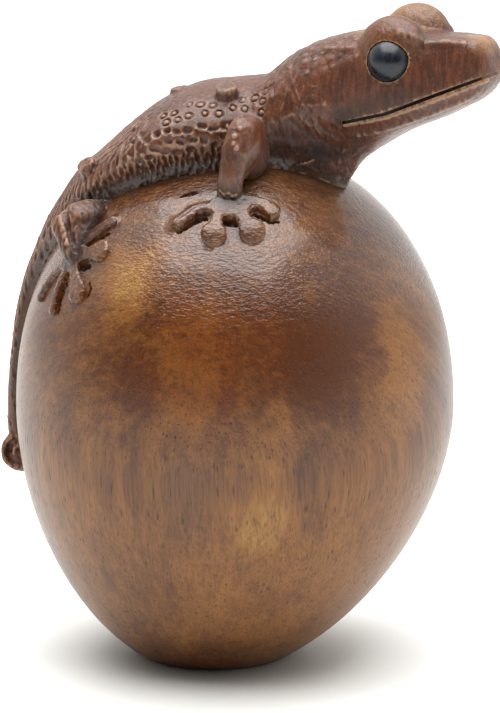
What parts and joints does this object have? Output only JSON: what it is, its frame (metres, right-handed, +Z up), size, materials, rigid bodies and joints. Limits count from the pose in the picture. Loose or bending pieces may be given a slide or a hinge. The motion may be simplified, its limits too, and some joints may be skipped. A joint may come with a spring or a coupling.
{
  "type": "carved wooden gecko on a ball",
  "caption": "Gecko lying over an egg-shaped ball, head raised and turned to its right, carved from one block of wood, with two glossy black bead eyes.",
  "frame": {"origin": "middle of the flat foot under the ball, on the table", "axes": "+Z up, +X towards the side that the gecko's head reaches over, its tail down the -X side, -Y the gecko's right side"},
  "size_m": [0.0982, 0.0828, 0.1257],
  "materials": {
    "varnished_wood": "brown tropical hardwood with open pores, stained dark in the cuts, under a semi-gloss varnish",
    "black_bead": "polished blue-black bead"
  },
  "bodies": {
    "root": {"carving": "varnished_wood", "right_eye": "black_bead", "left_eye": "black_bead"}
  },
  "joints": []
}
